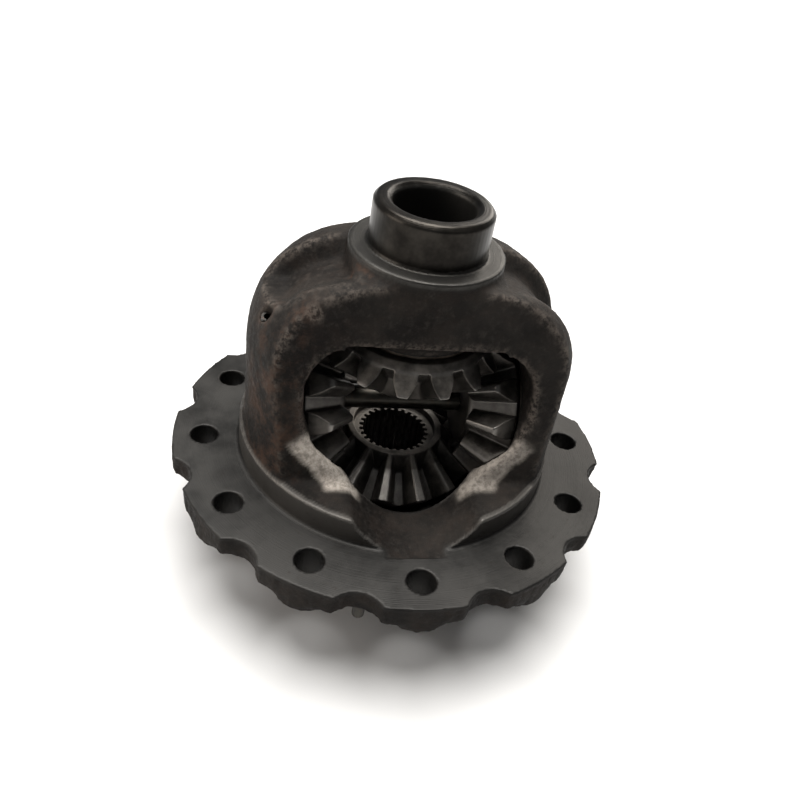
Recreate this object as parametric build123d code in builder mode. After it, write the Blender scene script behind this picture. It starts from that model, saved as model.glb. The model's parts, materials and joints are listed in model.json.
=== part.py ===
"""Differential gear assembly: one-piece case, two side gears, two pinions on a cross pin.

Millimetres, +Z up.  The origin is the centre of the lower journal's end face, and the
axle axis is Z.  The bevel gears share one apex, where the cross pin crosses that axis.
"""

import os
from math import acos, asin, atan2, cos, pi, radians, sin, sqrt, tan

from build123d import *

os.makedirs("parts", exist_ok=True)

# ---------------------------------------------------------------- driving dimensions
# Ring-gear flange
flange_top = 50.0
flange_thickness = 11.0
flange_radius = 103.2
bolt_count = 12
bolt_circle = 178.0
bolt_hole = 12.4
boss_radius = 14.5
boss_drop = 4.5
scallop_radius = 11.7
scallop_floor = 97.4
pilot_radius = 73.2
pilot_height = 12.1
below_flange_radius = 66.0
below_flange_step = 3.0
hub_flare_radius = 41.0
hub_flare_level = 26.0

# Body
body_radius = 71.5
dome_radius = 41.5
dome_centre = 58.0
face_low = 45.0
face_low_height = 10.0
face_high = 30.0
face_high_height = 97.0
trough_stations = ((-27.5, -0.4), (-19.0, 4.0), (-8.0, 7.4), (8.5, 9.2), (15.0, -1.0))
trough_low = {-1: 41.0, 1: 14.0}
trough_middle = 52.0
trough_high = 88.0

# Journals
journal_radius = 25.0
lower_shoulder = 22.0
lower_shoulder_radius = 33.0
upper_shoulder = 103.7
upper_shoulder_radius = 32.8
journal_top = 123.3
axle_bore = 34.5
journal_chamfer = 1.8

# Gears
apex = flange_top + 25.0
side_teeth = 14
pinion_teeth = 12
pressure_angle = radians(24)
cone_distance = 50.0
side_addendum = 0.78
pinion_addendum = 0.95
tip_clearance = 0.2
flank_relief = 0.12
gap_near = 14.0
gap_far = 60.0
spline_teeth = 28
spline_minor_radius = 14.8
spline_major_radius = 16.4
spline_depth = 2.2

side_toe = 36.0
side_collar_radius = 22.9
side_collar_foot = 23.9
side_collar_level = 15.9
side_rim_level = 19.4
side_rim_radius = 19.6
side_back = 41.0
side_back_radius = 31.5
side_core_level = 33.0
hub_radius = 22.0
hub_end = 52.5

pinion_toe = 36.5
pinion_heel = 51.0
pinion_face = 28.0
pinion_face_radius = 19.0
pinion_back_edge = 33.8
cross_pin_radius = 5.5
running_gap = 0.05

washer_gap = 0.3
side_washer_thickness = 1.2
side_washer_radius = 28.5
pinion_washer_inner = 57.0
pinion_seat_radius = 58.2
pinion_washer_edge = 30.0
pinion_pocket_radius = 38.6

# Cavity and windows
cavity_radius = 47.6
thrust_boss_radius = 29.0
window_top = 73.2
window_half_width = 48.4
window_lintel = 31.0
window_shoulder = (43.2, 66.4)
window_jamb = (43.0, 55.0)
window_hip = (44.2, 30.0)
window_sill_corner = (27.4, 12.1)
window_sill = -2.7
window_reach = 77.0

# Retention
cross_pin_half = 70.4
cross_pin_chamfer = 0.8
lock_pin_radius = 2.4
lock_pin_bore = 1.5
lock_pin_slot = 0.9
lock_mouth = (-64.0, -16.4, 79.0)
lock_foot = (-62.5, 0.0, 25.0)
lock_recess = 4.0
lock_overrun = 10.0
dowel_radius = 2.6
dowel_angle = -105.0
dowel_circle = 93.0
dowel_below = 8.0
dowel_depth = 7.0

# ---------------------------------------------------------------- derived gear geometry
module = 2 * cone_distance * sin(atan2(side_teeth, pinion_teeth)) / side_teeth
side_pitch = atan2(side_teeth, pinion_teeth)
pinion_pitch = pi / 2 - side_pitch


def face_angle(pitch, addendum):
    """Cone angle of the tooth tips."""
    return pitch + addendum * module / cone_distance


def root_angle(pitch, mate_addendum):
    """Cone angle of the tooth roots, clear of the mating tips."""
    return pitch - (mate_addendum + tip_clearance) * module / cone_distance


side_tip = face_angle(side_pitch, side_addendum)
side_root = root_angle(side_pitch, pinion_addendum)
pinion_tip = face_angle(pinion_pitch, pinion_addendum)
pinion_root = root_angle(pinion_pitch, side_addendum)


def spherical_involute(base, angle):
    """Azimuth swept by a spherical involute from its base cone out to a cone angle."""
    roll = acos(min(1.0, cos(angle) / cos(base)))
    return roll / sin(base) - acos(min(1.0, tan(base) / tan(angle)))


def gap_flank(teeth, pitch, tip, root):
    """Half width of a tooth gap, as (tangent of cone angle, azimuth), from root to tip."""
    base = asin(sin(pitch) * cos(pressure_angle))
    relief = flank_relief / (cone_distance * sin(pitch))
    at_pitch = pi / (2 * teeth) + relief - spherical_involute(base, pitch)
    start = max(root, base + 1e-6)
    stop = tip + radians(2.5)
    steps = 7
    flank = []
    for step in range(steps + 1):
        angle = start + (stop - start) * (step / steps) ** 1.4
        flank.append((tan(angle), at_pitch + spherical_involute(base, angle)))
    if root < base:
        flank.insert(0, (tan(root), flank[0][1]))
    return flank


def polar(radius, azimuth):
    """Point on a sketch plane from a radius and an azimuth in radians."""
    return (radius * cos(azimuth), radius * sin(azimuth))


def gap_outline(flank, distance):
    """Tooth gap outline at an axial distance from the apex, on a gear whose axis is Z."""
    straight_root = flank[0][1] == flank[1][1]
    first = 1 if straight_root else 0
    right = [polar(distance * rho, -half) for rho, half in flank]
    left = [polar(distance * rho, half) for rho, half in flank]
    root_middle = polar(distance * flank[0][0], 0)
    outer_middle = polar(distance * flank[-1][0], 0)
    with BuildSketch(Plane.XY.offset(distance)) as outline:
        with BuildLine():
            if straight_root:
                Line(right[0], right[1])
                Line(left[0], left[1])
            Spline(*right[first:])
            Spline(*left[first:])
            ThreePointArc(right[0], root_middle, left[0])
            ThreePointArc(right[-1], outer_middle, left[-1])
        make_face()
    return outline.sketch


# ---------------------------------------------------------------- case
lean = atan2(face_low - face_high, face_high_height - face_low_height)
dome_level = flange_top + dome_centre
dome_axis = body_radius - dome_radius
flange_back = flange_top - flange_thickness
seat_offset = side_back + washer_gap + side_washer_thickness
neck_end = flange_top + journal_top
neck_shoulder = flange_top + upper_shoulder
pilot_top = flange_top + pilot_height
window_level = flange_top + window_top
lock_top = Vector(lock_mouth) + Vector(0, 0, flange_top)
lock_line = (Vector(lock_foot) + Vector(0, 0, flange_top) - lock_top).normalized()
lock_length = (Vector(lock_foot) + Vector(0, 0, flange_top) - lock_top).length + lock_overrun
dowel_spot = polar(dowel_circle, radians(dowel_angle))
pinion_back_radius = pinion_washer_inner - washer_gap


def on_dome(angle, inset=0.0):
    """Point of the dome's section, from its steepest side (0) round to its top (90)."""
    radius = dome_radius - inset
    return (dome_axis + radius * cos(radians(angle)), dome_level + radius * sin(radians(angle)))


with BuildPart() as case:
    # Cast body: a round wall that closes into a dome
    with BuildSketch(Plane.XZ):
        with BuildLine():
            dome_edge = on_dome(87)
            Polyline((0, dome_edge[1]), (0, flange_top), (body_radius, flange_top), on_dome(0))
            ThreePointArc(on_dome(0), on_dome(43), dome_edge)
            Line(dome_edge, (0, dome_edge[1]))
        make_face()
    revolve(axis=Axis.Z)
    # Flat front and rear faces that lean in towards the neck
    for side in (-1, 1):
        face = Plane(
            origin=(0, side * face_low, flange_top + face_low_height),
            x_dir=(1, 0, 0),
            z_dir=(0, side * cos(lean), sin(lean)),
        )
        with BuildSketch(face):
            Rectangle(4 * body_radius, 4 * body_radius)
        extrude(amount=body_radius, mode=Mode.SUBTRACT)
    # Troughs behind the front roof, which leave the rear arch standing as a rim
    for side in (-1, 1):
        for station, inset in trough_stations:
            with BuildSketch(Plane.XZ.offset(-station)):
                low = on_dome(trough_low[side], inset)
                mid = on_dome(trough_middle, inset)
                high = on_dome(trough_high, inset)
                with BuildLine():
                    ThreePointArc(
                        (side * low[0], low[1]),
                        (side * mid[0], mid[1]),
                        (side * high[0], high[1]),
                    )
                    Polyline(
                        (side * high[0], high[1]),
                        (side * high[0], neck_end),
                        (side * 2 * body_radius, neck_end),
                        (side * 2 * body_radius, low[1]),
                        (side * low[0], low[1]),
                    )
                make_face()
        loft(ruled=True, mode=Mode.SUBTRACT)
    # Turned flange, pilot, lower hub and journals
    with BuildSketch(Plane.XZ):
        with BuildLine():
            Polyline(
                (0, 0),
                (journal_radius, 0),
                (journal_radius, lower_shoulder),
                (lower_shoulder_radius, lower_shoulder),
                (hub_flare_radius, hub_flare_level),
                (below_flange_radius, flange_back - below_flange_step),
                (below_flange_radius, flange_back),
                (flange_radius, flange_back),
                (flange_radius, flange_top),
                (pilot_radius, flange_top),
                (pilot_radius, pilot_top),
                (0, pilot_top),
                close=True,
            )
        make_face()
    revolve(axis=Axis.Z)
    with BuildSketch(Plane.XY.offset(dome_level)):
        Circle(upper_shoulder_radius)
    extrude(amount=neck_shoulder - dome_level)
    with BuildSketch(Plane.XY.offset(dome_level)):
        Circle(journal_radius)
    extrude(amount=neck_end - dome_level)
    # Bolt bosses under the flange, and scallops between the bolt lobes
    with BuildSketch(Plane.XY.offset(flange_back)):
        with PolarLocations(bolt_circle / 2, bolt_count):
            Circle(boss_radius)
    extrude(amount=-boss_drop)
    with BuildSketch(Plane.XY.offset(flange_top)):
        with PolarLocations(scallop_floor + scallop_radius, bolt_count, start_angle=15):
            Circle(scallop_radius)
    extrude(amount=-flange_thickness - boss_drop, mode=Mode.SUBTRACT)
    with BuildSketch(Plane.XY.offset(flange_top)):
        with PolarLocations(bolt_circle / 2, bolt_count):
            Circle(bolt_hole / 2)
    extrude(amount=-flange_thickness - boss_drop, mode=Mode.SUBTRACT)
    # Windows straight through, then the cavity with its two thrust bosses
    with BuildSketch(Plane.XZ):
        with BuildLine():
            for side in (-1, 1):
                sill_corner = (side * window_sill_corner[0], flange_top + window_sill_corner[1])
                jamb_top = (side * window_half_width, flange_top + window_jamb[1])
                Polyline(
                    sill_corner,
                    (side * window_hip[0], flange_top + window_hip[1]),
                    (side * window_half_width, flange_top + window_jamb[0]),
                    jamb_top,
                )
                ThreePointArc(
                    jamb_top,
                    (side * window_shoulder[0], flange_top + window_shoulder[1]),
                    (side * window_lintel, window_level),
                )
            ThreePointArc(
                (-sill_corner[0], sill_corner[1]), (0, flange_top + window_sill), sill_corner
            )
            Line((-window_lintel, window_level), (window_lintel, window_level))
        make_face()
    extrude(amount=window_reach, both=True, mode=Mode.SUBTRACT)
    with BuildSketch(Plane.XY.offset(apex - seat_offset)):
        Circle(cavity_radius)
    extrude(amount=window_level - apex + seat_offset, mode=Mode.SUBTRACT)
    with BuildSketch(Plane.XY.offset(apex + seat_offset)):
        Circle(thrust_boss_radius)
    extrude(amount=window_level - apex - seat_offset + 1)
    # Spherical pockets behind the pinions
    with BuildSketch(Plane.XZ):
        with BuildLine():
            pocket_edge = sqrt(pinion_seat_radius**2 - pinion_pocket_radius**2)
            pocket_middle = polar(pinion_seat_radius, asin(pinion_pocket_radius / pinion_seat_radius) / 2)
            Polyline(
                (-pinion_seat_radius, apex),
                (pinion_seat_radius, apex),
            )
            ThreePointArc(
                (pinion_seat_radius, apex),
                (pocket_middle[0], apex + pocket_middle[1]),
                (pocket_edge, apex + pinion_pocket_radius),
            )
            Line((pocket_edge, apex + pinion_pocket_radius), (-pocket_edge, apex + pinion_pocket_radius))
            ThreePointArc(
                (-pocket_edge, apex + pinion_pocket_radius),
                (-pocket_middle[0], apex + pocket_middle[1]),
                (-pinion_seat_radius, apex),
            )
        make_face()
    revolve(axis=Axis((0, 0, apex), (1, 0, 0)), mode=Mode.SUBTRACT)
    # Axle bores, side gear hub bores, cross pin bore, lock pin and dowel holes
    with BuildSketch(Plane.XY):
        Circle(axle_bore / 2)
    extrude(amount=neck_end, mode=Mode.SUBTRACT)
    with BuildSketch(Plane.XY.offset(apex - hub_end - 0.5)):
        Circle(hub_radius + running_gap)
    extrude(amount=2 * hub_end + 1, mode=Mode.SUBTRACT)
    with BuildSketch(Plane.YZ.offset(-body_radius - 5)):
        with Locations((0, apex)):
            Circle(cross_pin_radius)
    extrude(amount=2 * body_radius + 10, mode=Mode.SUBTRACT)
    with BuildSketch(Plane(origin=lock_top - lock_line * 10, z_dir=lock_line)):
        Circle(lock_pin_radius)
    extrude(amount=lock_length + 10, mode=Mode.SUBTRACT)
    with BuildSketch(Plane.XY.offset(flange_back)):
        with Locations(dowel_spot):
            Circle(dowel_radius)
    extrude(amount=dowel_depth, mode=Mode.SUBTRACT)
    # Chamfers on the journals and the pilot
    chamfer(case.faces().sort_by(Axis.Z)[-1].edges(), journal_chamfer)
    chamfer(case.faces().sort_by(Axis.Z)[0].edges(), journal_chamfer)

case.part.label = "case"
export_step(case.part, "parts/case.step")

# ---------------------------------------------------------------- gears
side_flank = gap_flank(side_teeth, side_pitch, side_tip, side_root)
pinion_flank = gap_flank(pinion_teeth, pinion_pitch, pinion_tip, pinion_root)


def axis_plane(direction, towards):
    """Plane at the apex whose normal points out along a gear's axis."""
    return Plane(origin=(0, 0, apex), x_dir=towards, z_dir=direction)


def gear_section(frame):
    """Plane through the gear's axis: local x is the radius, local y the axial distance."""
    return Plane(origin=frame.origin, x_dir=frame.x_dir, z_dir=-frame.y_dir)


def cone_point(distance, angle):
    """Radius and axial distance of a point on a cone about the gear's axis."""
    return (distance * sin(angle), distance * cos(angle))


def gap_tool(flank):
    """Wedge that cuts one tooth gap, tapering towards the apex."""
    with BuildPart() as gap:
        loft([gap_outline(flank, distance) for distance in (gap_near, gap_far)], ruled=True)
    return gap.part


def side_gear(direction):
    """Splined side gear on the axle axis."""
    frame = axis_plane(direction, (1, 0, 0))
    gap = gap_tool(side_flank)
    with BuildPart(frame) as gear:
        with BuildSketch(gear_section(frame)):
            with BuildLine():
                Polyline(
                    (spline_minor_radius, side_rim_level),
                    (side_rim_radius, side_rim_level),
                    (side_collar_radius, side_collar_level),
                    cone_point(side_toe, side_tip),
                    cone_point(cone_distance, side_tip),
                    (side_back_radius, side_back),
                    (hub_radius, side_back),
                    (hub_radius, hub_end),
                    (spline_minor_radius, hub_end),
                    close=True,
                )
            make_face()
        revolve(axis=Axis((0, 0, apex), direction))
        with PolarLocations(0, side_teeth, start_angle=180 / side_teeth):
            add(gap, mode=Mode.SUBTRACT)
        with BuildSketch(gear_section(frame)):
            with BuildLine():
                Polyline(
                    (spline_minor_radius, side_rim_level),
                    (side_rim_radius, side_rim_level),
                    (side_rim_radius, side_collar_level),
                    (side_collar_radius, side_collar_level),
                    (side_collar_foot, side_collar_foot / tan(side_root)),
                    (side_collar_foot, side_core_level),
                    (spline_minor_radius, side_core_level),
                    close=True,
                )
            make_face()
        revolve(axis=Axis((0, 0, apex), direction))
        with BuildSketch(frame.offset(side_rim_level)):
            with PolarLocations((spline_minor_radius + spline_major_radius) / 2, spline_teeth):
                Rectangle(spline_depth, pi * spline_minor_radius / spline_teeth)
        extrude(amount=hub_end - side_rim_level, mode=Mode.SUBTRACT)
    return gear.part


def pinion(direction):
    """Pinion on the cross pin, with a spherical back."""
    frame = axis_plane(direction, (0, 0, -1))
    gap = gap_tool(pinion_flank)
    bore = cross_pin_radius + running_gap
    back_angle = asin(pinion_back_edge / pinion_back_radius)
    bore_angle = asin(bore / pinion_back_radius)
    heel = cone_point(pinion_heel, pinion_tip)
    with BuildPart(frame) as gear:
        with BuildSketch(gear_section(frame)):
            with BuildLine():
                Polyline(
                    cone_point(pinion_back_radius, bore_angle),
                    (bore, pinion_face),
                    (pinion_face_radius, pinion_face),
                    cone_point(pinion_toe, pinion_root),
                    cone_point(pinion_toe, pinion_tip),
                    heel,
                    (heel[0], heel[1] + 2),
                    cone_point(pinion_back_radius, back_angle),
                )
                ThreePointArc(
                    cone_point(pinion_back_radius, back_angle),
                    cone_point(pinion_back_radius, (back_angle + bore_angle) / 2),
                    cone_point(pinion_back_radius, bore_angle),
                )
            make_face()
        revolve(axis=Axis((0, 0, apex), direction))
        with PolarLocations(0, pinion_teeth):
            add(gap, mode=Mode.SUBTRACT)
    return gear.part


def side_washer(direction):
    """Flat thrust washer between a side gear and its boss."""
    frame = axis_plane(direction, (1, 0, 0))
    with BuildPart() as washer:
        with BuildSketch(frame.offset(side_back + washer_gap)):
            Circle(side_washer_radius)
            Circle(hub_radius + washer_gap, mode=Mode.SUBTRACT)
        extrude(amount=side_washer_thickness)
    return washer.part


def pinion_washer(direction):
    """Spherical thrust washer between a pinion and its seat."""
    frame = axis_plane(direction, (0, 0, -1))
    edge = asin(pinion_washer_edge / pinion_seat_radius)
    hole = asin((cross_pin_radius + washer_gap) / pinion_washer_inner)
    middle = (edge + hole) / 2
    with BuildPart() as washer:
        with BuildSketch(gear_section(frame)):
            with BuildLine():
                for radius in (pinion_washer_inner, pinion_seat_radius):
                    ThreePointArc(
                        cone_point(radius, hole), cone_point(radius, middle), cone_point(radius, edge)
                    )
                for angle in (hole, edge):
                    Line(cone_point(pinion_washer_inner, angle), cone_point(pinion_seat_radius, angle))
            make_face()
        revolve(axis=Axis((0, 0, apex), direction))
    return washer.part


pieces = {
    "side_gear_upper": side_gear((0, 0, 1)),
    "side_gear_lower": side_gear((0, 0, -1)),
    "pinion_right": pinion((1, 0, 0)),
    "pinion_left": pinion((-1, 0, 0)),
    "side_washer_upper": side_washer((0, 0, 1)),
    "side_washer_lower": side_washer((0, 0, -1)),
    "pinion_washer_right": pinion_washer((1, 0, 0)),
    "pinion_washer_left": pinion_washer((-1, 0, 0)),
}
for name, piece in pieces.items():
    piece.label = name
    export_step(piece, f"parts/{name}.step")

# ---------------------------------------------------------------- cross pin, lock pin, dowel
with BuildPart() as cross_pin:
    with BuildSketch(Plane.YZ.offset(-cross_pin_half)):
        with Locations((0, apex)):
            Circle(cross_pin_radius)
    extrude(amount=2 * cross_pin_half)
    chamfer(cross_pin.edges().filter_by(GeomType.CIRCLE), cross_pin_chamfer)
    with BuildSketch(Plane(origin=lock_top, z_dir=lock_line)):
        Circle(lock_pin_radius)
    extrude(amount=lock_length, mode=Mode.SUBTRACT)

cross_pin.part.label = "cross_pin"
export_step(cross_pin.part, "parts/cross_pin.step")

with BuildPart() as lock_pin:
    with BuildSketch(Plane(origin=lock_top + lock_line * lock_recess, z_dir=lock_line)):
        Circle(lock_pin_radius)
        Circle(lock_pin_bore, mode=Mode.SUBTRACT)
        with Locations((lock_pin_radius, 0)):
            Rectangle(2 * lock_pin_bore, lock_pin_slot, mode=Mode.SUBTRACT)
    extrude(amount=lock_length - lock_recess)

lock_pin.part.label = "lock_pin"
export_step(lock_pin.part, "parts/lock_pin.step")

with BuildPart() as dowel_pin:
    with BuildSketch(Plane.XY.offset(flange_back + dowel_depth)):
        with Locations(dowel_spot):
            Circle(dowel_radius)
    extrude(amount=-dowel_depth - dowel_below)
    fillet(dowel_pin.faces().sort_by(Axis.Z)[0].edges(), dowel_radius * 0.6)

dowel_pin.part.label = "dowel_pin"
export_step(dowel_pin.part, "parts/dowel_pin.step")
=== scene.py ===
"""Looks for the differential gear assembly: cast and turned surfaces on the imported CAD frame."""

import json
import math

import bpy
import numpy as np
from mathutils import Matrix, Vector, noise
from mathutils.bvhtree import BVHTree


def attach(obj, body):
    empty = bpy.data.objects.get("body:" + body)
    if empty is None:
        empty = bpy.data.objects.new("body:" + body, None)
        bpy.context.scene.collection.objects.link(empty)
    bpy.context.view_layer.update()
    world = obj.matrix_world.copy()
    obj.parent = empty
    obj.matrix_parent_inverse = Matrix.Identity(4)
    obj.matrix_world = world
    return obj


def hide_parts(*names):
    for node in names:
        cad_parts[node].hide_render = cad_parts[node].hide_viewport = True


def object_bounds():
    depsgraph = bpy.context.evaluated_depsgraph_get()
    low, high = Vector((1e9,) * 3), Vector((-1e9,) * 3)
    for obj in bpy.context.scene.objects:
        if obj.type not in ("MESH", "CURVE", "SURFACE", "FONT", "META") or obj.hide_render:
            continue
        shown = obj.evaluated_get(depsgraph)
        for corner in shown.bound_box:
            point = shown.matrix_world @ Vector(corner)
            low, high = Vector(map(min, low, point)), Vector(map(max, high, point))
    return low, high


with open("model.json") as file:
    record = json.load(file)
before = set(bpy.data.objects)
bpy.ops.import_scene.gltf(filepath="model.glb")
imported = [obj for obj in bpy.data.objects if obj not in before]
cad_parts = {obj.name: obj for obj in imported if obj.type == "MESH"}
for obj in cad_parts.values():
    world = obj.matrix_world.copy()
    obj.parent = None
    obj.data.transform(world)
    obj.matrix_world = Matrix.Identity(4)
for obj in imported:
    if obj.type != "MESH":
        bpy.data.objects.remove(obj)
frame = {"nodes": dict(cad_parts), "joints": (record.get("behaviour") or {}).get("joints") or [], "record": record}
cad_low, cad_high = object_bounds()

MM = 0.001

# Levels and radii of the case, in millimetres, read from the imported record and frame
mounts = {mount["name"]: mount for mount in frame["record"]["mounts"]}
flange_top = mounts["ring_gear_bolts"]["pos_m"][2] / MM
bolt_circle_radius = mounts["ring_gear_bolts"]["dims"]["pcd_mm"] / 2
bolt_hole_radius = mounts["ring_gear_bolts"]["dims"]["hole_r_mm"]
bolt_count = mounts["ring_gear_bolts"]["dims"]["count"]
pilot_radius = mounts["ring_gear_pilot"]["dims"]["r_mm"]
pilot_top = flange_top + mounts["ring_gear_pilot"]["dims"]["length_mm"]
journal_radius = mounts["upper_bearing_seat"]["dims"]["r_mm"]
bore_radius = mounts["upper_axle_bore"]["dims"]["r_mm"]
neck_end = cad_high.z / MM
apex = frame["joints"][0]["pos_m"][2] / MM

# Sizes of the case that the record doesn't state, in millimetres
journal_length = 19.6
shoulder_level = neck_end - journal_length
shoulder_radius = 32.8
disc_edge = 2.2
lower_shoulder = 22.0
lower_shoulder_radius = 33.0
inner_bore = 23.0
flange_radius = 103.2
body_radius = 71.5
seat_offset = 42.5
boss_radius = 29.0
pocket_reach = 39.0
sill_corner = (27.4, flange_top + 12.1)
hip = (44.2, flange_top + 30.0)
pocket_radius = 58.2
cavity_radius = 47.6

# Voxels of the remeshed pieces, and how near a point lies to a turned level or wall that it is on
case_voxel = 1.0
gear_voxel = 0.5
on_level = 0.5
on_wall = 0.6

# Where the teeth start, from the apex, and the cone angles of their roots, in degrees
tooth_toe = 35.0
tooth_tips = 37.0
side_root_cone = 42.3
pinion_root_cone = 34.5

# Marks on the casting: a brown stain beside the neck, and a bright nick on the front ridge
neck_stain = (-29.0, -18.0, flange_top + 99.0)
ridge_nick = (-47.0, -31.5, flange_top + 87.0)


# ---------------------------------------------------------------- camera and light
def add_camera():
    """Camera at the photograph's viewing angle: left of the window, high, rolled a little."""
    stand_off = 303.7 * MM
    azimuth = math.radians(-14.6)
    height = (flange_top + 248.8) * MM
    pitch = math.radians(-36.6)
    yaw = math.radians(-0.1)
    roll = math.radians(10.6)
    place = Vector((stand_off * math.sin(azimuth), -stand_off * math.cos(azimuth), height))
    heading = math.atan2(-place.y, -place.x) + yaw
    forward = Vector(
        (math.cos(heading) * math.cos(pitch), math.sin(heading) * math.cos(pitch), math.sin(pitch))
    )
    right = forward.cross(Vector((0, 0, 1))).normalized()
    up = right.cross(forward)
    side = right * math.cos(roll) + up * math.sin(roll)
    top = up * math.cos(roll) - right * math.sin(roll)
    turn = Matrix((side, top, -forward)).transposed().to_4x4()
    data = bpy.data.cameras.new("camera")
    data.sensor_width = 36.0
    data.lens = 36.2
    data.clip_start = 0.01
    camera = bpy.data.objects.new("camera", data)
    camera.matrix_world = Matrix.Translation(place) @ turn
    bpy.context.scene.collection.objects.link(camera)
    bpy.context.scene.camera = camera


def add_softbox(name, place, target, size, power, colour):
    """Square area light that faces a target point."""
    data = bpy.data.lights.new(name, "AREA")
    data.shape = "SQUARE"
    data.size = size
    data.energy = power
    data.color = colour
    lamp = bpy.data.objects.new(name, data)
    lamp.location = place
    lamp.rotation_euler = (Vector(target) - Vector(place)).to_track_quat("-Z", "Y").to_euler()
    bpy.context.scene.collection.objects.link(lamp)


def add_studio():
    """Pale floor, a broad overhead key, two soft boxes and a dim even surround."""
    floor_mesh = bpy.data.meshes.new("floor")
    half = 6.0  # metres
    floor_mesh.from_pydata(
        [(-half, -half, 0), (half, -half, 0), (half, half, 0), (-half, half, 0)], [], [(0, 1, 2, 3)]
    )
    floor = bpy.data.objects.new("floor", floor_mesh)
    bpy.context.scene.collection.objects.link(floor)
    floor_mesh.materials.append(floor_material())

    # Broad overhead key from a little behind, and a warm soft box on each side
    key = bpy.data.lights.new("key", "SUN")
    key.energy = 8.0
    key.angle = math.radians(50)
    key.color = (1.0, 0.985, 0.96)
    lamp = bpy.data.objects.new("key", key)
    lamp.rotation_euler = Vector((0.05, -0.20, -0.98)).to_track_quat("-Z", "Y").to_euler()
    bpy.context.scene.collection.objects.link(lamp)
    target = (0, 0, 0.08)
    add_softbox("back_right", (0.75, 0.95, 0.75), target, 0.7, 10.0, (1.0, 0.94, 0.86))
    add_softbox("left", (-1.1, -0.1, 0.5), target, 0.7, 8.0, (1.0, 0.92, 0.84))
    world = bpy.data.worlds.new("surround")
    bpy.context.scene.world = world
    world.use_nodes = True
    back = world.node_tree.nodes["Background"]
    back.inputs["Color"].default_value = (0.93, 0.96, 1.0, 1.0)
    back.inputs["Strength"].default_value = 0.15
    bpy.context.scene.view_settings.view_transform = "Standard"


# ---------------------------------------------------------------- materials
class Shader:
    """Small helper that adds and joins the nodes of one material."""

    def __init__(self, name):
        self.material = bpy.data.materials.new(name)
        self.material.use_nodes = True
        self.tree = self.material.node_tree
        self.principled = self.tree.nodes["Principled BSDF"]
        self.position = self.add("ShaderNodeNewGeometry").outputs["Position"]

    def add(self, kind, **settings):
        """New node of a kind, with its settings."""
        node = self.tree.nodes.new(kind)
        for key, value in settings.items():
            setattr(node, key, value)
        return node

    def put(self, source, socket):
        """Joins an output to a socket, or sets the socket to a constant."""
        if isinstance(source, bpy.types.NodeSocket):
            self.tree.links.new(source, socket)
        else:
            socket.default_value = source

    def noise(self, scale, detail=4.0, roughness=0.6, vector=None):
        """Noise in the row frame; scale is in cells per metre."""
        node = self.add("ShaderNodeTexNoise")
        self.put(vector or self.position, node.inputs["Vector"])
        node.inputs["Scale"].default_value = scale
        node.inputs["Detail"].default_value = detail
        node.inputs["Roughness"].default_value = roughness
        return node.outputs["Fac"]

    def ramp(self, source, low, high, from_value=0.0, to_value=1.0):
        """Smooth step of a value between two levels."""
        node = self.add("ShaderNodeMapRange", interpolation_type="SMOOTHSTEP")
        self.put(source, node.inputs["Value"])
        node.inputs["From Min"].default_value = low
        node.inputs["From Max"].default_value = high
        node.inputs["To Min"].default_value = from_value
        node.inputs["To Max"].default_value = to_value
        return node.outputs["Result"]

    def mix(self, factor, a, b):
        """Mix of two colours."""
        node = self.add("ShaderNodeMix", data_type="RGBA")
        self.put(factor, node.inputs["Factor"])
        self.put(a, node.inputs[6])
        self.put(b, node.inputs[7])
        return node.outputs[2]

    def blend(self, factor, a, b):
        """Mix of two numbers."""
        node = self.add("ShaderNodeMix", data_type="FLOAT")
        self.put(factor, node.inputs["Factor"])
        self.put(a, node.inputs[2])
        self.put(b, node.inputs[3])
        return node.outputs[0]

    def maths(self, operation, a, b=0.0):
        """Result of one operation on two numbers."""
        node = self.add("ShaderNodeMath", operation=operation)
        self.put(a, node.inputs[0])
        self.put(b, node.inputs[1])
        return node.outputs[0]

    def mask(self, name):
        """Per-vertex number stored on the mesh."""
        return self.add("ShaderNodeAttribute", attribute_name=name).outputs["Fac"]

    def axes(self):
        """The three coordinates, in metres."""
        split = self.add("ShaderNodeSeparateXYZ")
        self.put(self.position, split.inputs[0])
        return split.outputs

    def radius(self):
        """Distance from the axle axis."""
        place = self.axes()
        squares = [self.maths("MULTIPLY", place[i], place[i]) for i in (0, 1)]
        return self.maths("SQRT", self.maths("ADD", *squares))

    def bump(self, height, distance, strength=1.0):
        """Normal tilted by a height field; distance is in metres."""
        node = self.add("ShaderNodeBump")
        self.put(height, node.inputs["Height"])
        node.inputs["Distance"].default_value = distance
        node.inputs["Strength"].default_value = strength
        return node.outputs["Normal"]

    def finish(self, colour, roughness, metallic, normal, specular=0.5):
        """Joins the surface's values to the shader and returns the material."""
        self.put(colour, self.principled.inputs["Base Color"])
        self.put(roughness, self.principled.inputs["Roughness"])
        self.put(metallic, self.principled.inputs["Metallic"])
        self.put(normal, self.principled.inputs["Normal"])
        self.put(specular, self.principled.inputs["Specular IOR Level"])
        return self.material


def floor_material():
    """Pale matt paper with a very faint tooth."""
    paper = Shader("paper_floor")
    tone = paper.mix(paper.noise(3.0), (0.46, 0.46, 0.46, 1), (0.49, 0.49, 0.49, 1))
    normal = paper.bump(paper.noise(900.0), 0.0002, 0.15)
    return paper.finish(tone, 0.9, 0.0, normal)


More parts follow.
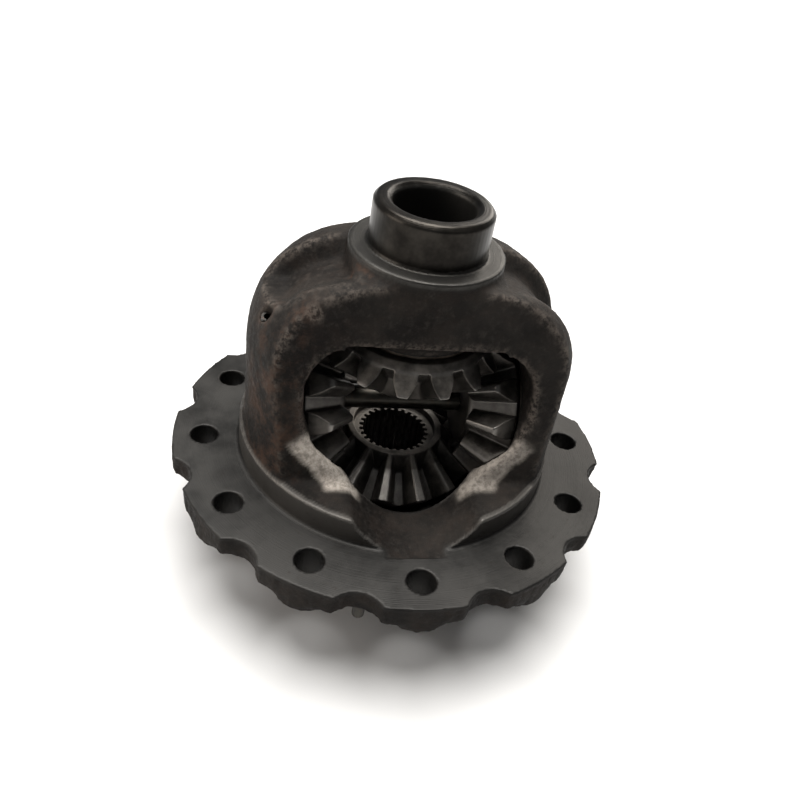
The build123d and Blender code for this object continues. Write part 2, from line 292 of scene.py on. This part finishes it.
def case_material():
    """Sand-cast iron with rust bloom, turned faces, ground journals and fettled lands."""
    iron = Shader("case_iron")
    turned = iron.mask("turned")
    ground = iron.mask("ground")
    land = iron.mask("land")
    rust_place = iron.mask("rust")

    # Casting skin, paler where the edges have rubbed
    grain = iron.noise(420.0, 6.0, 0.7)
    patch = iron.noise(38.0, 4.0, 0.6)
    skin = iron.mix(iron.ramp(patch, 0.35, 0.68), (0.007, 0.006, 0.0054, 1), (0.016, 0.0142, 0.0126, 1))
    skin = iron.mix(iron.ramp(grain, 0.45, 0.75, 0.0, 0.5), skin, (0.033, 0.030, 0.027, 1))
    rubbed = iron.maths("MULTIPLY", iron.mask("rubbed"), iron.ramp(grain, 0.38, 0.60))
    skin = iron.mix(rubbed, skin, (0.085, 0.072, 0.062, 1))
    rust_noise = iron.ramp(iron.noise(75.0, 6.0, 0.75), 0.42, 0.66)
    rust_amount = iron.maths("MULTIPLY", rust_noise, iron.blend(rust_place, 0.10, 0.85))
    skin = iron.mix(rust_amount, skin, (0.048, 0.028, 0.0195, 1))

    # Turned and ground metal
    smear = iron.noise(26.0, 5.0, 0.65)
    metal = iron.mix(iron.ramp(smear, 0.36, 0.66), (0.016, 0.0156, 0.015, 1), (0.032, 0.031, 0.0295, 1))
    level = iron.axes()[2]
    disc = iron.ramp(level, (shoulder_level - 3.0) * MM, (shoulder_level - 2.0) * MM)
    metal = iron.mix(disc, metal, (0.038, 0.0365, 0.034, 1))
    pilot = iron.maths(
        "MULTIPLY",
        iron.ramp(level, (flange_top + 0.5) * MM, (flange_top + 1.5) * MM),
        iron.ramp(level, (pilot_top + 0.6) * MM, (pilot_top + 1.6) * MM, 1.0, 0.0),
    )
    metal = iron.mix(pilot, metal, (0.085, 0.080, 0.074, 1))
    speck = iron.ramp(iron.noise(310.0, 5.0, 0.8), 0.60, 0.70, 0.0, 0.7)
    metal = iron.mix(speck, metal, (0.014, 0.011, 0.009, 1))
    seat = iron.mix(iron.ramp(smear, 0.40, 0.62), (0.010, 0.009, 0.008, 1), (0.030, 0.027, 0.0235, 1))
    metal = iron.mix(ground, metal, seat)
    fettled = iron.mix(iron.ramp(grain, 0.35, 0.62), (0.22, 0.196, 0.170, 1), (0.43, 0.388, 0.342, 1))

    colour = iron.mix(turned, skin, metal)
    colour = iron.mix(land, colour, fettled)

    # Finish
    skin_rough = iron.ramp(grain, 0.3, 0.7, 0.55, 0.82)
    metal_rough = iron.blend(ground, iron.ramp(smear, 0.3, 0.7, 0.40, 0.58), 0.30)
    roughness = iron.blend(turned, skin_rough, metal_rough)
    roughness = iron.blend(land, roughness, 0.5)
    metallic = iron.blend(turned, 0.0, 0.85)

    # Relief: pitted skin, and tool marks round the axle axis on turned faces
    pits = iron.noise(900.0, 5.0, 0.75)
    marks = iron.add("ShaderNodeTexNoise", noise_dimensions="1D")
    iron.put(iron.maths("MULTIPLY", iron.radius(), 2600.0), marks.inputs["W"])
    marks.inputs["Scale"].default_value = 1.0
    relief = iron.blend(turned, pits, iron.maths("MULTIPLY", marks.outputs["Fac"], 0.22))
    normal = iron.bump(relief, 0.0006, 0.55)
    return iron.finish(colour, roughness, metallic, normal, 0.08)


def gear_material():
    """Dull machined gear steel, lighter on the worn tooth tips, with a painted reflection along the tooth roots.
    """
    steel = Shader("gear_steel_used")
    wear_and_sheen = steel.mask("wear_and_sheen")
    film = steel.noise(110.0, 5.0, 0.65)
    base = steel.mix(steel.ramp(film, 0.35, 0.65), (0.045, 0.041, 0.037, 1), (0.105, 0.096, 0.086, 1))
    bright = steel.mix(steel.ramp(film, 0.35, 0.7), (0.13, 0.122, 0.112, 1), (0.20, 0.188, 0.174, 1))
    # Lighter colour: wear on the tooth tips, and painted reflection along the tooth roots
    colour = steel.mix(wear_and_sheen, base, bright)
    roughness = steel.blend(wear_and_sheen, steel.ramp(film, 0.3, 0.7, 0.42, 0.6), 0.34)
    scratches = steel.noise(1500.0, 3.0, 0.6)
    normal = steel.bump(scratches, 0.0002, 0.25)
    return steel.finish(colour, roughness, 0.9, normal)


def pin_material(name, tone, rust):
    """Ground pin steel, a little oily."""
    steel = Shader(name)
    film = steel.noise(140.0, 5.0, 0.6)
    dark = tuple(0.55 * part for part in tone) + (1,)
    colour = steel.mix(steel.ramp(film, 0.35, 0.65), dark, tone + (1,))
    bloom = steel.ramp(steel.noise(420.0, 6.0, 0.8), 0.5, 0.68, 0.0, rust)
    colour = steel.mix(bloom, colour, (0.13, 0.07, 0.045, 1))
    roughness = steel.ramp(film, 0.3, 0.7, 0.28, 0.45)
    normal = steel.bump(steel.noise(1800.0, 2.0, 0.5), 0.0001, 0.3)
    return steel.finish(colour, roughness, 0.92, normal)


# ---------------------------------------------------------------- mesh tools
def remeshed_copy(node, name, voxel):
    """Even quad mesh of a CAD node, with its points laid back on the CAD surface."""
    source = frame["nodes"][node]
    piece = bpy.data.objects.new(name, source.data.copy())
    piece.data.materials.clear()
    bpy.context.scene.collection.objects.link(piece)
    weld = piece.modifiers.new("weld", "WELD")
    weld.merge_threshold = 1e-6
    voxels = piece.modifiers.new("voxels", "REMESH")
    voxels.mode = "VOXEL"
    voxels.voxel_size = voxel * MM
    voxels.use_smooth_shade = True
    bpy.context.view_layer.update()
    evaluated = piece.evaluated_get(bpy.context.evaluated_depsgraph_get())
    mesh = bpy.data.meshes.new_from_object(evaluated)
    piece.modifiers.clear()
    piece.data = mesh
    snap_to(mesh, source.data)
    return piece


def points_of(mesh):
    """Places of a mesh's points, one row each."""
    flat = np.empty(len(mesh.vertices) * 3, np.float64)
    mesh.vertices.foreach_get("co", flat)
    return flat.reshape(-1, 3)


def set_points(mesh, points):
    """Moves a mesh's points."""
    mesh.vertices.foreach_set("co", points.ravel())
    mesh.update()


def normals_of(mesh):
    """Normals at a mesh's points, one row each."""
    flat = np.empty(len(mesh.vertices) * 3, np.float64)
    mesh.vertices.foreach_get("normal", flat)
    return flat.reshape(-1, 3)


def snap_to(mesh, target):
    """Moves each point to the nearest point of the target's surface."""
    target.calc_loop_triangles()
    tree = BVHTree.FromPolygons(
        [vertex.co for vertex in target.vertices],
        [tuple(triangle.vertices) for triangle in target.loop_triangles],
    )
    points = points_of(mesh)
    for i, point in enumerate(points):
        hit = tree.find_nearest(point)[0]
        if hit is not None:
            points[i] = hit
    set_points(mesh, points)


def edges_of(mesh):
    """The two point numbers of each edge, one row each."""
    flat = np.empty(len(mesh.edges) * 2, np.int64)
    mesh.edges.foreach_get("vertices", flat)
    return flat.reshape(-1, 2)


def smoothed(values, edges, weight, rounds):
    """Laplacian smoothing of per-point values, held by a weight from 0 to 1 on each point."""
    count = len(values)
    degree = np.bincount(edges.ravel(), minlength=count).clip(1)
    share = weight.reshape((-1,) + (1,) * (values.ndim - 1))
    for _ in range(rounds):
        total = np.zeros_like(values)
        if values.ndim == 1:
            total += np.bincount(edges[:, 0], values[edges[:, 1]], count)
            total += np.bincount(edges[:, 1], values[edges[:, 0]], count)
            mean = total / degree
        else:
            for axis in range(values.shape[1]):
                total[:, axis] += np.bincount(edges[:, 0], values[edges[:, 1], axis], count)
                total[:, axis] += np.bincount(edges[:, 1], values[edges[:, 0], axis], count)
            mean = total / degree[:, None]
        values = values + share * (mean - values)
    return values


def store(mesh, name, values):
    """Keeps a number on each point for the material to read."""
    layer = mesh.attributes.new(name, "FLOAT", "POINT")
    layer.data.foreach_set("value", values.astype(np.float32))


def soft_step(values, low, high):
    """Smooth rise from 0 at the low value to 1 at the high one."""
    share = ((values - low) / (high - low)).clip(0, 1)
    return share * share * (3 - 2 * share)


def noise_at(points, scale, seed, octaves=1):
    """Fractal noise at each point; scale is the size of its largest cells, in millimetres."""
    shift = Vector((seed * 17.3, seed * 5.1, seed * 9.7))
    places = points / scale
    return np.array(
        [noise.fractal(Vector(place) + shift, 1.0, 2.0, octaves) for place in places]
    )


# ---------------------------------------------------------------- case
def near(values, level, reach):
    """Which values lie within reach of a level."""
    return np.abs(values - level) < reach


def around(points, place):
    """Distance of each point from a place, in millimetres."""
    return np.linalg.norm(points - np.array(place), axis=1)


def case_masks(points):
    """Which points are turned and which are ground, from their places in millimetres."""
    x, y, z = points.T
    r = np.hypot(x, y)
    turned = np.zeros(len(points), bool)
    turned |= near(z, flange_top, on_level) & (r > pilot_radius - on_level)
    on_pilot = (z > flange_top - on_level) & (z < pilot_top + on_level)
    turned |= near(r, pilot_radius, on_wall) & on_pilot
    turned |= near(z, pilot_top, on_level) & (r < pilot_radius + on_level) & (r > body_radius - 0.3)
    turned |= (z > shoulder_level - disc_edge) & (r < shoulder_radius + 0.7)
    turned |= (z < lower_shoulder + on_wall) & (r < lower_shoulder_radius + on_wall)
    turned |= r < inner_bore
    turned |= near(z, apex + seat_offset, on_level) & (r < boss_radius + 0.7)
    turned |= near(z, apex - seat_offset, on_level) & (r < cavity_radius)
    turned |= near(r, cavity_radius, on_wall) & (np.abs(z - apex) < seat_offset + 6)
    from_apex = np.sqrt(x**2 + y**2 + (z - apex) ** 2)
    turned |= near(from_apex, pocket_radius, on_wall) & (np.hypot(y, z - apex) < pocket_reach)
    for k in range(bolt_count):
        angle = 2 * math.pi * k / bolt_count
        hole = (bolt_circle_radius * math.cos(angle), bolt_circle_radius * math.sin(angle))
        turned |= np.hypot(x - hole[0], y - hole[1]) < bolt_hole_radius + on_level
    ground = (r < journal_radius + on_wall) & ((z > shoulder_level + 0.4) | (z < lower_shoulder - 0.4))
    ground &= r > bore_radius + on_level
    return turned.astype(float), ground.astype(float)


def build_case():
    """Case with rounded, pitted casting skin and crisp turned faces."""
    piece = remeshed_copy("case", "case_casting", case_voxel)
    mesh = piece.data
    points = points_of(mesh) / MM
    edges = edges_of(mesh)
    turned, ground = case_masks(points)
    free = np.ones(len(points))
    near_turned = smoothed(turned, edges, free, 2)
    cast = 1.0 - soft_step(near_turned, 0.15, 0.6)
    points = smoothed(points, edges, cast * 0.6, 14)

    # Uneven skin: long waves, sand pits and the ragged parting edge of the flange
    set_points(mesh, points * MM)
    normals = normals_of(mesh)
    x, y, z = points.T
    r = np.hypot(x, y)
    waves = noise_at(points, 22.0, 1, 2) * 0.35
    lumps = noise_at(points, 5.0, 2, 3) * 0.20
    sand = noise_at(points, 1.7, 3, 2) * 0.12
    rim = soft_step(r, 92.0, 97.0) * (z < flange_top + 0.4)
    ragged = noise_at(points * np.array((1, 1, 0.35)), 3.0, 4, 3) * 0.45
    lift = cast * (waves + lumps + sand + rim * ragged)
    lift = np.minimum(lift, np.where(r > flange_radius - 2, 0.2, 0.6))
    points = points + normals * lift[:, None]
    set_points(mesh, points * MM)

    # Fettled strip on the face, beside the window's slanted lower edge
    run = np.hypot(hip[0] - sill_corner[0], hip[1] - sill_corner[1])
    slope = ((hip[0] - sill_corner[0]) / run, (hip[1] - sill_corner[1]) / run)
    beside = (np.abs(x) - sill_corner[0]) * slope[1] - (z - sill_corner[1]) * slope[0]
    along = (np.abs(x) - sill_corner[0]) * slope[0] + (z - sill_corner[1]) * slope[1]
    beside += noise_at(points, 7.0, 5, 3) * 1.6
    strip = soft_step(beside, -1.5, 0.0) * soft_step(-beside, -8.0, -7.0)
    strip *= soft_step(along, -10.0, -5.0) * soft_step(-along, -run - 8.0, -run - 2.0)
    depth = np.abs(y)
    outward = np.maximum(soft_step(np.abs(normals[:, 1]), 0.60, 0.85), soft_step(-depth, -51.0, -48.0))
    land = cast * strip * outward * soft_step(depth, 36.0, 38.0) * np.where(x < 0, 1.0, 0.55)

    # Rust on the left side and in the stain, and edges and a nick rubbed pale
    side_bloom = soft_step(-x, 44.0, 56.0) * (z > pilot_top) * soft_step(-y, 8.0, 28.0)
    rust = np.maximum(side_bloom, 1.0 - soft_step(around(points, neck_stain), 4.0, 10.0))
    settled = smoothed(points, edges, free, 4)
    bulge = ((points - settled) * normals).sum(axis=1)
    rubbed = cast * soft_step(bulge, 0.05, 0.22) * (z > pilot_top)
    rubbed = np.maximum(rubbed, 2.2 * (1.0 - soft_step(around(points, ridge_nick), 1.5, 3.5)))
    marks = {"rubbed": rubbed, "turned": turned, "ground": ground, "land": land, "rust": rust}
    rounds = {"rubbed": 2, "rust": 6}
    for name, values in marks.items():
        store(mesh, name, smoothed(values, edges, free, rounds.get(name, 1)))
    mesh.materials.append(case_material())
    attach(piece, "case")
    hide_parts("case")


# ---------------------------------------------------------------- gears
def build_gear(node, axis, root, surface):
    """Gear with worn, lighter tooth tips and a painted reflection along the tooth roots; axis is its own, root its
    root cone's angle.
    """
    piece = remeshed_copy(node, node + "_worn", gear_voxel)
    mesh = piece.data
    points = points_of(mesh) / MM
    edges = edges_of(mesh)
    points = smoothed(points, edges, np.full(len(points), 0.35), 1)
    set_points(mesh, points * MM)
    along = np.abs(points[:, axis] - (apex if axis == 2 else 0.0))
    across = points - np.array((0, 0, apex))
    across[:, axis] = 0
    cone = np.degrees(np.arctan2(np.linalg.norm(across, axis=1), along))
    reach = np.hypot(along, np.linalg.norm(across, axis=1))
    tip = cone[reach > tooth_tips].max()
    toothed = reach > tooth_toe
    wear_and_sheen = soft_step(cone, tip - 1.8, tip - 0.8) * toothed
    # Painted reflection: the band along the root cone is made lighter where the gap floors catch the light
    wear_and_sheen = np.maximum(wear_and_sheen, 0.75 * (1.0 - soft_step(np.abs(cone - root), 0.5, 1.2)) * toothed)
    store(mesh, "wear_and_sheen", smoothed(wear_and_sheen, edges, np.ones(len(points)), 1))
    mesh.materials.append(surface)
    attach(piece, node)
    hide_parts(node)


def finish_node(node, material):
    """Gives a CAD node that keeps its shape its material."""
    data = frame["nodes"][node].data
    if data.materials:
        for slot in range(len(data.materials)):
            data.materials[slot] = material
    else:
        data.materials.append(material)


add_camera()
add_studio()
build_case()
steel = gear_material()
for node in ("side_gear_upper", "side_gear_lower"):
    build_gear(node, 2, side_root_cone, steel)
for node in ("pinion_left", "pinion_right"):
    build_gear(node, 0, pinion_root_cone, steel)
pin_steel = pin_material("pin_steel_oiled", (0.045, 0.042, 0.036), 0.2)
washer_steel = pin_material("washer_steel_phosphated", (0.10, 0.085, 0.07), 0.4)
for node in ("cross_pin", "dowel_pin"):
    finish_node(node, pin_steel)
finish_node("lock_pin", pin_material("lock_pin_sooty", (0.012, 0.011, 0.010), 0.1))
for node in ("side_washer_upper", "side_washer_lower", "pinion_washer_left", "pinion_washer_right"):
    finish_node(node, washer_steel)
